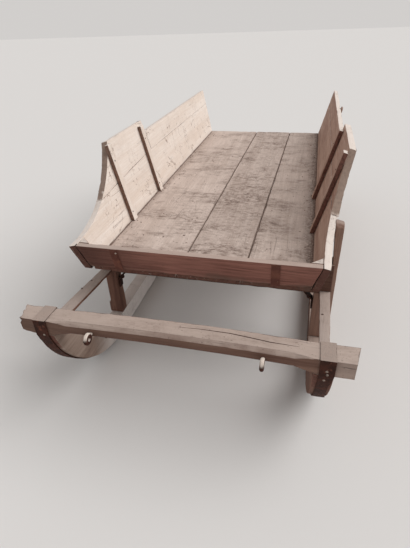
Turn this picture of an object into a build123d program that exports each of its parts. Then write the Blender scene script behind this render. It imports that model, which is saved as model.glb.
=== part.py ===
from build123d import *
import math
import os

# Old farm sleigh with a flared wooden box on two shod runners.
# Millimetres. X to the right, Y to the rear, Z up, ground at Z = 0.
# While the pieces are made, Y is the distance behind the front face of the beam.
# The last step moves everything so that Y = 0 is the middle of the length.

# Runners
RUNNER_INNER = 421.0        # half of the clear width between the runners
RUNNER_WIDTH = 62.0
RUNNER_TOP = 95.0           # top of the straight part above the ground
SHOE_THICKNESS = 6.0
SHOE_WIDTH = 47.0           # flush with the outer face of the runner
WRAP_THICKNESS = 4.0        # the shoe where it is drawn out thin over the beam
NOSE_RADIUS = 475.0         # outer sweep of the wood
NOSE_TOP = 368.0            # seat of the beam
HOLLOW_RADIUS = 350.0       # sweep behind the nose
HOLLOW_START = 452.0        # where that sweep meets the straight top
RUNNER_TAIL = 2282.0
TAIL_SLOPE_LENGTH = 60.0
TAIL_SLOPE_DROP = 35.0

# Front beam
BEAM_OVERHANG = 54.0        # how far its front face stands out beyond each runner
BEAM_END_SKEW = 14.0        # how much further out each end reaches at the rear face
BEAM_DEPTH = 72.0
BEAM_HEIGHT = 60.0
BEAM_BOW = 9.0              # rise of the middle of the beam between the runners
TOP_CHAMFER = 12.0
BOTTOM_CHAMFER = 20.0
CHAMFER_CLEAR = 5.0         # from the end of each chamfer to the shoe strap
CHAMFER_RUNOUT = 65.0       # length over which a chamfer dies out
CHAMFER_MARGIN = 5.0        # how far the cutter of a chamfer reaches out of the beam

# Draw eyes
EYE_SPACING = 554.0
EYE_Z = 400.0
EYE_REACH = 24.0            # middle of the eye in front of the beam
EYE_RADIUS = 20.5
EYE_BORE_RADIUS = 7.0
EYE_THICKNESS = 13.0
EYE_CHAMFER = 3.5
EYE_SHANK_RADIUS = 6.5
EYE_HOLE_CLEARANCE = 0.3
EYE_NUT_WIDTH = 24.0
EYE_NUT_THICKNESS = 10.0

# Rails, posts and bolsters
FRAME_FRONT = 508.0         # middle of the front posts
FRAME_COUNT = 3
POST_DEPTH = 50.0
RAIL_WIDTH = 42.0
RAIL_TOP = 335.0
RAIL_THICKNESS = 14.0
RAIL_BEND = 465.0           # in front of this the rail climbs to the top of the nose
BOLSTER_DEPTH = 70.0
BOLSTER_NOTCH = 12.0        # how far the bolster is let down over the rails

# Iron stays between post and bolster
STAY_WIDTH = 30.0
STAY_THICKNESS = 6.0
STAY_POST_LEG = 45.0
STAY_BOLSTER_LEG = 45.0
STAY_REACH = 44.0           # how far in the diagonal reaches
STAY_DROP = 46.0            # how far down the diagonal reaches

# Box
BOX_INSET = 81.0            # each side, at the floor, inside the outer face of the runner
FLOOR_TOP = 480.0
FLOOR_THICKNESS = 24.0
FLOOR_FRONT = 270.0         # foot of the front board
FLOOR_SETBACK = 16.0        # the planks end this far behind the face of the front board
FLOOR_REAR = 2317.0
FLOOR_SEAMS = ((-73.0, -50.0), (163.0, 197.0))  # front and rear end of each seam
SEAM_GAP = 4.0
SIDE_LAP = 12.0             # how far the sides reach down over the edges of the floor
FLARE = 15.5                # degrees outward
PLANK_THICKNESS = 27.0      # lower plank and rear board of each side
PANEL_THICKNESS = 30.0
FRONT_LEAN = 15.0           # degrees forward
REAR_LEAN = 13.0            # degrees backward
PLANK_HEIGHT = 197.0        # up the slope, top of the lower plank behind the panel
PLANK_TAPER = 64.0          # how much lower its top edge starts, at the front of the sleigh
LIP_HEIGHT = 103.0          # up the slope, low front end of the side
PANEL_HEIGHT = 345.0        # up the slope, top of the front panel
REAR_BOARD_HEIGHT = 291.0   # up the slope, top of the rear board
SWOOP_START = 292.0
SWOOP_MIDDLE = (567.0, 188.0)
SWOOP_END = 740.0
PANEL_REAR = 1140.0
FRONT_BOARD_THICKNESS = 28.0
FRONT_BOARD_TOP = 579.0
CORNER_BLOCK = 42.0

# Cleats on the inner faces of the sides
CLEAT_WIDTH = 40.0
CLEAT_THICKNESS = 20.0
CLEAT_RAKE = 32.0           # how far the top lies behind the foot
FRONT_CLEAT_SETBACK = 73.0  # from the foot to the start of the panel's level top
FRONT_CLEAT_HEIGHT = 335.0  # up the slope
REAR_CLEAT_SETBACK = 108.0  # from the foot to the rear end of the panel
REAR_CLEAT_HEIGHT = 327.0

# Stakes outside the box
STAKE_THICKNESS = 22.0
STAKE_WIDTH = 50.0
STAKE_SEAT = 8.0            # how far post, rail and bolster are cut away for a short stake
SHORT_STAKE_FOOT = 150.0
SHORT_STAKE_TOP = 627.0
LONG_STAKE_TOP = 775.0

# Straps on the front board
STRAP_WIDTH = 30.0
STRAP_THICKNESS = 3.0
STRAP_SPACING = 564.0

# Worked out from the above
RUNNER_OUTER = RUNNER_INNER + RUNNER_WIDTH
NOSE_CENTRE_Z = SHOE_THICKNESS + NOSE_RADIUS
NOSE_CENTRE_Y = math.sqrt(NOSE_RADIUS**2 - (NOSE_CENTRE_Z - NOSE_TOP) ** 2)
SHOE_INNER = RUNNER_OUTER - SHOE_WIDTH
BEAM_TOP = NOSE_TOP + BEAM_HEIGHT
BOW_RADIUS = (RUNNER_INNER**2 + BEAM_BOW**2) / (2 * BEAM_BOW)
HOLLOW_CENTRE_Z = RUNNER_TOP + HOLLOW_RADIUS
NOSE_BACK = HOLLOW_START - math.sqrt(HOLLOW_RADIUS**2 - (HOLLOW_CENTRE_Z - NOSE_TOP) ** 2)
RAIL_BOTTOM = RAIL_TOP - RAIL_THICKNESS
FLOOR_BOTTOM = FLOOR_TOP - FLOOR_THICKNESS
FRAME_PITCH = PANEL_REAR - FRAME_FRONT  # the middle frame stands at the end of the panels
FRAMES = [FRAME_FRONT + FRAME_PITCH * i for i in range(FRAME_COUNT)]
FRAME_NAMES = ("front", "middle", "rear")
SLOPE = math.tan(math.radians(FLARE))
BOX_HALF_WIDTH = RUNNER_OUTER - BOX_INSET

# A board of the right side lies in this plane: x to the rear, y up the slope, z outward.
SIDE_PLANE = Plane(
    origin=(BOX_HALF_WIDTH, 0, FLOOR_TOP),
    x_dir=(0, 1, 0),
    z_dir=(math.cos(math.radians(FLARE)), 0, -math.sin(math.radians(FLARE))),
)
BIG = 4000.0
DIAGONAL = math.sqrt(0.5)


def block(x0, x1, y0, y1, z0, z1):
    return Pos((x0 + x1) / 2, (y0 + y1) / 2, (z0 + z1) / 2) * Box(x1 - x0, y1 - y0, z1 - z0)


def from_side(edges, x0, width):
    """A piece sawn to a profile seen from the side, width thick in X."""
    return extrude(Plane.YZ.offset(x0) * make_face(edges), width)


def from_front(edges, y0, depth):
    """A piece with a profile seen from the front (x, z), depth long to the rear."""
    plane = Plane(origin=(0, y0, 0), x_dir=(1, 0, 0), z_dir=(0, -1, 0))
    return extrude(plane * make_face(edges), -depth)


def closed(*points):
    return [Polyline(*points, close=True)]


def mirrored(solid):
    return mirror(solid, about=Plane.YZ)


def above(z, solid):
    return solid - block(-BIG, BIG, -BIG, BIG, z - BIG, z)


def ends_cut(solid):
    """Cuts a side board to the leaning planes of the front and the rear of the box."""
    front = Plane(
        origin=(0, FLOOR_FRONT, FLOOR_TOP),
        z_dir=(0, -math.cos(math.radians(FRONT_LEAN)), -math.sin(math.radians(FRONT_LEAN))),
    )
    rear = Plane(
        origin=(0, FLOOR_REAR, FLOOR_TOP),
        z_dir=(0, math.cos(math.radians(REAR_LEAN)), -math.sin(math.radians(REAR_LEAN))),
    )
    for plane in (front, rear):
        solid = solid - extrude(plane * Rectangle(BIG, BIG), BIG / 4)
    return solid


def sweep_middle(radius):
    """Point halfway round the sweep of a nose."""
    return (NOSE_CENTRE_Y - radius * DIAGONAL, NOSE_CENTRE_Z - radius * DIAGONAL)


def runner():
    tail = RUNNER_TAIL
    bottom = SHOE_THICKNESS
    hollow_mid = (
        HOLLOW_START - HOLLOW_RADIUS * DIAGONAL,
        HOLLOW_CENTRE_Z - HOLLOW_RADIUS * DIAGONAL,
    )
    edges = [
        Polyline(
            (NOSE_CENTRE_Y, bottom),
            (tail, bottom),
            (tail, RUNNER_TOP - TAIL_SLOPE_DROP),
            (tail - TAIL_SLOPE_LENGTH, RUNNER_TOP),
            (HOLLOW_START, RUNNER_TOP),
        ),
        ThreePointArc((HOLLOW_START, RUNNER_TOP), hollow_mid, (NOSE_BACK, NOSE_TOP)),
        Line((NOSE_BACK, NOSE_TOP), (0, NOSE_TOP)),
        ThreePointArc((0, NOSE_TOP), sweep_middle(NOSE_RADIUS), (NOSE_CENTRE_Y, bottom)),
    ]
    return from_side(edges, RUNNER_INNER, RUNNER_WIDTH)


def shoe():
    """Iron under the runner, up the nose, over the beam and down behind it."""
    t = SHOE_THICKNESS
    w = WRAP_THICKNESS
    edges = [
        Polyline((NOSE_CENTRE_Y, 0), (RUNNER_TAIL, 0), (RUNNER_TAIL, t), (NOSE_CENTRE_Y, t)),
        ThreePointArc((NOSE_CENTRE_Y, t), sweep_middle(NOSE_RADIUS), (0, NOSE_TOP)),
        Polyline(
            (0, NOSE_TOP),
            (0, BEAM_TOP),
            (BEAM_DEPTH, BEAM_TOP),
            (BEAM_DEPTH, NOSE_TOP),
            (BEAM_DEPTH + w, NOSE_TOP),
            (BEAM_DEPTH + w, BEAM_TOP + w),
            (-t, BEAM_TOP + w),
            (-t, NOSE_TOP),
        ),
        ThreePointArc((-t, NOSE_TOP), sweep_middle(NOSE_RADIUS + t), (NOSE_CENTRE_Y, 0)),
    ]
    return from_side(edges, SHOE_INNER, SHOE_WIDTH)


def bow_rise(x):
    """How far the bowed beam stands above its seats at x."""
    if abs(x) > RUNNER_INNER:
        return 0.0
    return math.sqrt(BOW_RADIUS**2 - x**2) - BOW_RADIUS + BEAM_BOW


def chamfer_section(x, z, size, down):
    """Section at x of the cutter of a front arris at height z. It takes size off both faces."""
    m = CHAMFER_MARGIN
    z += bow_rise(x)
    reach = size + m
    edges = closed((-m, z + down * m), (reach, z + down * m), (-m, z - down * reach))
    return Plane.YZ.offset(x) * make_face(edges)


def front_beam():
    """Bowed beam with skewed ends. Its front arrises are chamfered between the runners."""
    front = RUNNER_OUTER + BEAM_OVERHANG
    rear = front + BEAM_END_SKEW
    plan = closed((-front, 0), (front, 0), (rear, BEAM_DEPTH), (-rear, BEAM_DEPTH))
    beam = extrude(Plane.XY.offset(NOSE_TOP) * make_face(plan), BEAM_HEIGHT + BEAM_BOW)
    edges = []
    for z in (NOSE_TOP, BEAM_TOP):
        edges.append(ThreePointArc((-RUNNER_INNER, z), (0, z + BEAM_BOW), (RUNNER_INNER, z)))
    for side in (-1, 1):
        seat, end = side * RUNNER_INNER, side * rear
        edges.append(Polyline((seat, NOSE_TOP), (end, NOSE_TOP), (end, BEAM_TOP), (seat, BEAM_TOP)))
    beam &= from_front(edges, 0, BEAM_DEPTH)
    tip = SHOE_INNER - CHAMFER_CLEAR
    full = tip - CHAMFER_RUNOUT
    for z, size, down in ((BEAM_TOP, TOP_CHAMFER, 1), (NOSE_TOP, BOTTOM_CHAMFER, -1)):
        beam -= loft([chamfer_section(x, z, size, down) for x in (-full, 0, full)])
        for side in (-1, 1):
            dies_out = [chamfer_section(side * x, z, c, down) for x, c in ((full, size), (tip, 0))]
            beam -= loft(dies_out, ruled=True)
    for x in (-EYE_SPACING / 2, EYE_SPACING / 2):
        hole = Cylinder(EYE_SHANK_RADIUS + EYE_HOLE_CLEARANCE, BIG / 10)
        beam -= Pos(x, 0, EYE_Z) * Rot(90, 0, 0) * hole
    return beam


def draw_eye(x):
    disc = Cylinder(EYE_RADIUS, EYE_THICKNESS)
    disc = chamfer(disc.edges(), EYE_CHAMFER)
    end = BEAM_DEPTH + EYE_NUT_THICKNESS + EYE_SHANK_RADIUS
    shank = Cylinder(EYE_SHANK_RADIUS, EYE_REACH + end)
    shank = Pos(x, (end - EYE_REACH) / 2, EYE_Z) * Rot(90, 0, 0) * shank
    to_eye = Pos(x, -EYE_REACH, EYE_Z) * Rot(0, 90, 0)
    nut_plane = Plane(origin=(x, BEAM_DEPTH, EYE_Z), x_dir=(1, 0, 0), z_dir=(0, 1, 0))
    nut = extrude(nut_plane * RegularPolygon(EYE_NUT_WIDTH / 2, 6), EYE_NUT_THICKNESS)
    return to_eye * disc + shank + nut - to_eye * Cylinder(EYE_BORE_RADIUS, EYE_THICKNESS)


def rail():
    """Thin rail on the posts. Its front end climbs and lies on the nose of the runner."""
    start = BEAM_DEPTH + WRAP_THICKNESS
    edges = closed(
        (start, NOSE_TOP),
        (NOSE_BACK, NOSE_TOP),
        (RAIL_BEND, RAIL_BOTTOM),
        (RUNNER_TAIL, RAIL_BOTTOM),
        (RUNNER_TAIL, RAIL_TOP),
        (RAIL_BEND, RAIL_TOP),
        (NOSE_BACK, NOSE_TOP + RAIL_THICKNESS),
        (start, NOSE_TOP + RAIL_THICKNESS),
    )
    return from_side(edges, RUNNER_OUTER - RAIL_WIDTH, RAIL_WIDTH)


def post(y):
    half = POST_DEPTH / 2
    return block(RUNNER_INNER, RUNNER_OUTER, y - half, y + half, RUNNER_TOP, RAIL_BOTTOM)


def bolster(y):
    y0 = y - BOLSTER_DEPTH / 2
    y1 = y + BOLSTER_DEPTH / 2
    beam = block(-RUNNER_OUTER, RUNNER_OUTER, y0, y1, RAIL_TOP - BOLSTER_NOTCH, FLOOR_BOTTOM)
    for x0 in (-RUNNER_OUTER, RUNNER_OUTER - RAIL_WIDTH):
        beam -= block(x0, x0 + RAIL_WIDTH, y0, y1, 0, RAIL_TOP)
    return beam


def stay(y):
    """Flat bar with one leg on the post, a diagonal and one leg under the bolster."""
    t = STAY_THICKNESS
    under = RAIL_TOP - BOLSTER_NOTCH
    knee = under - STAY_DROP
    inner = RUNNER_INNER - STAY_REACH
    tilt = math.hypot(STAY_REACH, STAY_DROP)
    fold_z = t * (tilt - STAY_REACH) / STAY_DROP
    fold_x = t * (tilt - STAY_DROP) / STAY_REACH
    edges = closed(
        (RUNNER_INNER, knee - STAY_POST_LEG),
        (RUNNER_INNER, knee),
        (inner, under),
        (inner - STAY_BOLSTER_LEG, under),
        (inner - STAY_BOLSTER_LEG, under - t),
        (inner - fold_z, under - t),
        (RUNNER_INNER - t, knee - fold_x),
        (RUNNER_INNER - t, knee - STAY_POST_LEG),
    )
    return from_front(edges, y - STAY_WIDTH / 2, STAY_WIDTH)


def floor_planks():
    """Three tapered planks. The outer two are bevelled to lie against the leaning sides."""
    edges = [(-BOX_HALF_WIDTH, -BOX_HALF_WIDTH), *FLOOR_SEAMS, (BOX_HALF_WIDTH, BOX_HALF_WIDTH)]
    outside = extrude(SIDE_PLANE * Pos(FLOOR_REAR / 2, 0) * Rectangle(BIG, BIG), BIG / 4)
    y0 = FLOOR_FRONT + FLOOR_SETBACK
    planks = []
    for left, right in zip(edges, edges[1:]):
        x0, x1 = (x if left == edges[0] else x + SEAM_GAP / 2 for x in left)
        x2, x3 = (x if right == edges[-1] else x - SEAM_GAP / 2 for x in right)
        plan = closed((x0, y0), (x2, y0), (x3, FLOOR_REAR), (x1, FLOOR_REAR))
        plank = extrude(Plane.XY.offset(FLOOR_BOTTOM) * make_face(plan), FLOOR_THICKNESS)
        planks.append(plank - outside - mirrored(outside))
    return planks


def swoop_outline(low):
    """Front part of the side from the low lip up the swoop to the panel's rear end."""
    arc = ThreePointArc((SWOOP_START, LIP_HEIGHT), SWOOP_MIDDLE, (SWOOP_END, PANEL_HEIGHT))
    edges = [
        Polyline((0, low), (0, LIP_HEIGHT), (SWOOP_START, LIP_HEIGHT)),
        arc,
        Polyline((SWOOP_END, PANEL_HEIGHT), (PANEL_REAR, PANEL_HEIGHT), (PANEL_REAR, low), (0, low)),
    ]
    return make_face(edges)


def tapered_band(front_low, front_high, rear_low, rear_high):
    """Part of a side, up the slope, from the front of the sleigh to the panel's rear end."""
    return make_face(
        closed((0, front_low), (0, front_high), (PANEL_REAR, rear_high), (PANEL_REAR, rear_low))
    )


def lower_plank():
    foot = -PLANK_THICKNESS
    band = tapered_band(foot, PLANK_HEIGHT - PLANK_TAPER, foot, PLANK_HEIGHT)
    front = swoop_outline(foot) & band
    rear_end = FLOOR_REAR + BIG / 10
    rear = Pos((PANEL_REAR + rear_end) / 2, (foot + PLANK_HEIGHT) / 2)
    rear = rear * Rectangle(rear_end - PANEL_REAR, PLANK_HEIGHT - foot)
    board = extrude(SIDE_PLANE * (front + rear), PLANK_THICKNESS)
    return ends_cut(above(FLOOR_TOP - SIDE_LAP, board))


def front_panel():
    band = tapered_band(PLANK_HEIGHT - PLANK_TAPER, PANEL_HEIGHT, PLANK_HEIGHT, PANEL_HEIGHT)
    return extrude(SIDE_PLANE * (swoop_outline(0) & band), PANEL_THICKNESS)


def rear_board():
    rear_end = FLOOR_REAR + BIG / 10
    shape = Pos((PANEL_REAR + rear_end) / 2, (REAR_BOARD_HEIGHT + PLANK_HEIGHT) / 2)
    shape = shape * Rectangle(rear_end - PANEL_REAR, REAR_BOARD_HEIGHT - PLANK_HEIGHT)
    return ends_cut(extrude(SIDE_PLANE * shape, PLANK_THICKNESS))


def cleat(foot, height):
    rake = CLEAT_RAKE / height
    low = -CLEAT_THICKNESS
    edges = closed(
        (foot + low * rake, low),
        (foot + CLEAT_RAKE, height),
        (foot + CLEAT_RAKE + CLEAT_WIDTH, height),
        (foot + low * rake + CLEAT_WIDTH, low),
    )
    return above(FLOOR_TOP, extrude(SIDE_PLANE * make_face(edges), -CLEAT_THICKNESS))


def front_board():
    lean = math.tan(math.radians(FRONT_LEAN))
    rise = FRONT_BOARD_TOP - FLOOR_TOP
    depth = FRONT_BOARD_THICKNESS / math.cos(math.radians(FRONT_LEAN))
    profile = closed(
        (FLOOR_FRONT, FLOOR_TOP),
        (FLOOR_FRONT - rise * lean, FRONT_BOARD_TOP),
        (FLOOR_FRONT - rise * lean + depth, FRONT_BOARD_TOP),
        (FLOOR_FRONT + depth, FLOOR_TOP),
    )
    board = from_side(profile, -BIG / 4, BIG / 2)
    room = closed(
        (-BOX_HALF_WIDTH, FLOOR_TOP),
        (BOX_HALF_WIDTH, FLOOR_TOP),
        (BOX_HALF_WIDTH + rise * SLOPE, FRONT_BOARD_TOP),
        (-BOX_HALF_WIDTH - rise * SLOPE, FRONT_BOARD_TOP),
    )
    return board & from_front(room, 0, FLOOR_REAR)


def corner_block():
    lean = math.tan(math.radians(FRONT_LEAN))
    depth = FRONT_BOARD_THICKNESS / math.cos(math.radians(FRONT_LEAN))
    faces = []
    for z in (FLOOR_TOP, FRONT_BOARD_TOP):
        x = BOX_HALF_WIDTH + (z - FLOOR_TOP) * SLOPE
        y = FLOOR_FRONT + depth - (z - FLOOR_TOP) * lean
        triangle = closed((x, y), (x - CORNER_BLOCK, y), (x, y + CORNER_BLOCK))
        faces.append(Pos(0, 0, z) * make_face(triangle))
    return loft(faces)


def strap(x):
    """Flat iron down the face of the front board."""
    lean = math.tan(math.radians(FRONT_LEAN))
    top = FLOOR_FRONT - (FRONT_BOARD_TOP - FLOOR_TOP) * lean
    t = STRAP_THICKNESS
    edges = closed(
        (FLOOR_FRONT, FLOOR_TOP),
        (top, FRONT_BOARD_TOP),
        (top - t, FRONT_BOARD_TOP),
        (FLOOR_FRONT - t, FLOOR_TOP),
    )
    return from_side(edges, x - STRAP_WIDTH / 2, STRAP_WIDTH)


def stake_seats():
    """What the seats of the short stakes take from the front post, rail and bolster."""
    r = STAKE_WIDTH / 2
    inner = RUNNER_OUTER - STAKE_SEAT
    seat = block(inner, BIG, FRAME_FRONT - r, FRAME_FRONT + r, SHORT_STAKE_FOOT, FLOOR_BOTTOM)
    return seat + mirrored(seat)


def short_stake(y):
    """Upright board let into the outside of post, rail and bolster, with a round top."""
    r = STAKE_WIDTH / 2
    edges = [
        Polyline(
            (y - r, SHORT_STAKE_TOP - r),
            (y - r, SHORT_STAKE_FOOT),
            (y + r, SHORT_STAKE_FOOT),
            (y + r, SHORT_STAKE_TOP - r),
        ),
        ThreePointArc(
            (y + r, SHORT_STAKE_TOP - r), (y, SHORT_STAKE_TOP), (y - r, SHORT_STAKE_TOP - r)
        ),
    ]
    return from_side(edges, RUNNER_OUTER - STAKE_SEAT, STAKE_THICKNESS)


def long_stake(y, boards):
    """Leaning stake on the end of the bolster, flat against boards of the thickness given."""
    tilt = math.radians(FLARE)
    top = (LONG_STAKE_TOP - FLOOR_TOP) / math.cos(tilt)
    low = -2 * FLOOR_THICKNESS
    r = STAKE_WIDTH / 2
    edges = [
        Polyline((y - r, top - r), (y - r, low), (y + r, low), (y + r, top - r)),
        ThreePointArc((y + r, top - r), (y, top), (y - r, top - r)),
    ]
    return above(FLOOR_BOTTOM, extrude(SIDE_PLANE.offset(boards) * make_face(edges), STAKE_THICKNESS))


pieces = {}


def both_sides(name, solid):
    """The same piece on the right, as made, and on the left, mirrored."""
    pieces[f"{name}_right"] = solid
    pieces[f"{name}_left"] = mirrored(solid)


both_sides("runner", runner())
both_sides("runner_shoe", shoe())
pieces["front_beam"] = front_beam()
pieces["draw_eye_right"] = draw_eye(EYE_SPACING / 2)
pieces["draw_eye_left"] = draw_eye(-EYE_SPACING / 2)
both_sides("rail", rail() - stake_seats())
for frame_name, frame_y in zip(FRAME_NAMES, FRAMES):
    both_sides(f"post_{frame_name}", post(frame_y) - stake_seats())
    pieces[f"bolster_{frame_name}"] = bolster(frame_y) - stake_seats()
pieces["stake_front_right"] = short_stake(FRAMES[0])  # the left one is lost
both_sides("stake_middle", long_stake(FRAMES[1], PANEL_THICKNESS))
both_sides("stake_rear", long_stake(FRAMES[2], PLANK_THICKNESS))
both_sides("stays", Part() + [stay(frame_y) for frame_y in FRAMES])
for plank_name, plank in zip(("left", "middle", "right"), floor_planks()):
    pieces[f"floor_plank_{plank_name}"] = plank
pieces["front_board"] = front_board()
both_sides("corner_block", corner_block())
pieces["front_strap_right"] = strap(STRAP_SPACING / 2)
pieces["front_strap_left"] = strap(-STRAP_SPACING / 2)
both_sides("side_plank", lower_plank())
both_sides("side_panel", front_panel())
both_sides("side_board", rear_board())
both_sides("cleat_front", cleat(SWOOP_END - FRONT_CLEAT_SETBACK, FRONT_CLEAT_HEIGHT))
both_sides("cleat_rear", cleat(PANEL_REAR - REAR_CLEAT_SETBACK, REAR_CLEAT_HEIGHT))

front_end = -EYE_REACH - EYE_RADIUS
rear_end = max(piece.bounding_box().max.Y for piece in pieces.values())
to_middle = Pos(0, -(front_end + rear_end) / 2, 0)

os.makedirs("parts", exist_ok=True)
for piece_name, piece in pieces.items():
    placed = to_middle * piece
    placed.label = piece_name
    export_step(placed, f"parts/{piece_name}.step")
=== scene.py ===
import math
import random

import bmesh
import bpy
from bpy.props import FloatProperty, FloatVectorProperty, PointerProperty
from mathutils import Matrix, Vector, noise
from mathutils.bvhtree import BVHTree
from mathutils.geometry import intersect_point_line


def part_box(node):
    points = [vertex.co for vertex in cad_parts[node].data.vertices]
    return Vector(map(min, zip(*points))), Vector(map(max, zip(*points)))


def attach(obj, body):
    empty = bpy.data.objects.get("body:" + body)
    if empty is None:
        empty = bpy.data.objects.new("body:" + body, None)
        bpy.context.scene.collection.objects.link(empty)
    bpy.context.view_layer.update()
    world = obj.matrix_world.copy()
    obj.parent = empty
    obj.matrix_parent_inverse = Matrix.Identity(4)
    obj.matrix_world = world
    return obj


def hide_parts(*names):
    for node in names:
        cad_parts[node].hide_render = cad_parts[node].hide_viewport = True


bl_info = {
    "name": "Old farm sleigh",
    "version": (1, 0, 0),
    "blender": (4, 5, 0),
    "location": "View3D > Sidebar > Sleigh",
    "description": "Dresses the sleigh's frame in weathered timber and rusted iron",
    "category": "Object",
}

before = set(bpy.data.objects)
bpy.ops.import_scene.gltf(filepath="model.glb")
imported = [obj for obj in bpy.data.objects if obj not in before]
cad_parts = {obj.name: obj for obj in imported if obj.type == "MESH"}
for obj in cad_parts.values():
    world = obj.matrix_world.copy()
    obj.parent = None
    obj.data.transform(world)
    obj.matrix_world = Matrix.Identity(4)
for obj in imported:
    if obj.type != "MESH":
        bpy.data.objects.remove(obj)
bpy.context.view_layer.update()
BODY = "root"
SIDES = (("left", -1), ("right", 1))
FRAMES = ("front", "middle", "rear")
AHEAD = -1.3  # a Y in front of the whole sleigh, from where heads are sought
BACKWARDS = (0, 1, 0)
DOWN = (0, 0, -1)


# Sizes and colours


def colour(name, description, default):
    return FloatVectorProperty(
        name=name, description=description, subtype="COLOR", size=3, min=0, max=1, default=default
    )


def length(name, description, default):
    return FloatProperty(name=name, description=description, unit="LENGTH", default=default)


def angle(name, description, degrees):
    turn = math.radians(degrees)
    return FloatProperty(name=name, description=description, subtype="ANGLE", default=turn)


class SleighTimber(bpy.types.PropertyGroup):
    """Colours and wear of the wooden pieces"""

    dust: colour("Dust", "Dry dust that lies on upward faces", (0.50, 0.40, 0.345))
    soil: colour("Soil", "Dark dirt trodden into floor and seams", (0.13, 0.08, 0.06))
    crumb: colour("Crumbs", "Pale crumbs and bare specks", (0.76, 0.66, 0.58))
    floor_pale: colour("Floor, swept", "Trodden floor where it is cleanest", (0.66, 0.54, 0.475))
    floor_dark: colour("Floor, worn", "Trodden floor where it is greyest", (0.49, 0.385, 0.33))
    # The left side's pale tones are partly bleached wood and partly painted light on its inner
    # face, which is lit from the right
    side_pale: colour("Left side, bleached", "Bleached face of the left side", (0.85, 0.755, 0.68))
    side_dark: colour("Left side, bare", "Browner streaks of the left side", (0.75, 0.63, 0.54))
    # The right side's brown tones are partly its own wood and partly painted shade on its inner
    # face, which is turned from the light; the corner blocks share them
    shaded_brown_pale: colour("Right side, pale", "Paler grain of the right side", (0.50, 0.335, 0.26))
    shaded_brown_dark: colour("Right side, dark", "Darker grain of the right side", (0.31, 0.175, 0.13))
    outer_pale: colour("Outsides, pale", "Paler grain on the outer faces", (0.55, 0.44, 0.37))
    outer_dark: colour("Outsides, dark", "Darker grain on the outer faces", (0.37, 0.27, 0.215))
    edge_pale: colour("Side edges", "Sawn top edges of the sides", (0.80, 0.71, 0.645))
    # The swoop colour is partly greyed wood and partly painted shade on edges that face forward
    swoop_shade: colour("Swoops", "Greyed front edges of the sides", (0.28, 0.20, 0.158))
    # The flank colour is painted shade on the left cleats' flanks that face forward and back
    shaded_flank: colour("Cleat flanks", "Sawn flanks of the left cleats", (0.225, 0.13, 0.095))
    scratch: colour("Scratches", "Thin dark lines on the bleached sides", (0.24, 0.15, 0.11))
    end_dark: colour("Board ends", "Dark end grain and sawn flanks", (0.17, 0.072, 0.052))
    end_black: colour("Side ends", "Dirty end grain of the sides", (0.115, 0.049, 0.036))
    front_pale: colour("Front board, pale", "Paler grain of the board", (0.34, 0.152, 0.115))
    front_dark: colour("Front board, dark", "Darker grain of the board", (0.135, 0.052, 0.039))
    beam_pale: colour("Beam, pale", "Paler grain of the front beam", (0.215, 0.124, 0.09))
    beam_dark: colour("Beam, dark", "Darker grain of the front beam", (0.118, 0.059, 0.042))
    beam_end: colour("Beam ends", "Rough end grain of the beam", (0.45, 0.36, 0.30))
    runner_pale: colour("Runners, pale", "Paler grain of the runners", (0.36, 0.27, 0.22))
    runner_dark: colour("Runners, dark", "Darker grain of the runners", (0.20, 0.13, 0.098))
    # The left runner's pale stain is painted light on its inner face
    runner_bleached: colour("Left runner, bare", "Where it is bleached", (0.86, 0.80, 0.76))
    runner_out_pale: colour("Runner outsides, pale", "Paler grain outside", (0.32, 0.23, 0.18))
    runner_out_dark: colour("Runner outsides, dark", "Darker grain outside", (0.18, 0.11, 0.083))
    frame_pale: colour("Timbers, pale", "Paler grain of posts and rails", (0.23, 0.12, 0.083))
    frame_dark: colour("Timbers, dark", "Darker grain of posts and rails", (0.11, 0.05, 0.035))
    rail_top: colour("Rails, top", "Greyed dust on the rails", (0.47, 0.39, 0.345))
    stake_pale: colour("Stakes, pale", "Paler grain of the stakes", (0.33, 0.21, 0.16))
    stake_dark: colour("Stakes, dark", "Darker grain of the stakes", (0.16, 0.08, 0.058))
    worn_edge: length("Worn edge", "How far wear has rounded the sharp edges", 0.0035)
    chip: length("Chips", "How deep the edges are chipped at most", 0.004)


class SleighIron(bpy.types.PropertyGroup):
    """Colours and sizes of the ironwork"""

    rust: colour("Rust", "Brown rust on the iron", (0.070, 0.023, 0.014))
    scale: colour("Dark scale", "Dark scale under the rust", (0.032, 0.012, 0.008))
    bright_rust: colour("Fresh rust", "Redder rust around edges and nails", (0.24, 0.09, 0.055))
    nail: length("Nail head", "Radius of a nail head", 0.0042)
    strap: colour("Straps", "Rusted straps of the front board", (0.19, 0.075, 0.052))
    strap_dark: colour("Straps, dark", "Darker rust of the straps", (0.12, 0.045, 0.033))
    bare: colour("Bare iron", "Rubbed and dusty heads of nails", (0.42, 0.345, 0.29))
    worn_edge: length("Worn edge", "How far wear has rounded the iron's edges", 0.0012)


class SleighStage(bpy.types.PropertyGroup):
    """Floor, light and camera"""

    floor: colour("Floor", "Plain pale floor under the sleigh", (0.70, 0.675, 0.655))
    backdrop: colour("Backdrop", "What the camera sees beyond the floor", (0.64, 0.62, 0.605))
    fill: FloatProperty(name="Fill", description="Even light from all round", default=0.55)
    key: FloatProperty(name="Key", description="Strength of the lamp on the right", default=1.95)
    spread: angle("Spread", "Width of the lamp", 50)
    camera_right: length("Camera, right", "Camera's distance right of the middle", 0.348)
    camera_front: length("Camera, front", "Camera's distance in front of the middle", 2.0456)
    camera_height: length("Camera, height", "Camera's height above the floor", 1.261)
    yaw: angle("Yaw", "Turn to the left", 15.04)
    pitch: angle("Pitch", "Tilt down", 32.752)
    roll: angle("Roll", "Roll of the camera", -2.505)
    lens: FloatProperty(name="Lens", description="Focal length", unit="CAMERA", default=26.75)


# Shader nodes


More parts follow.
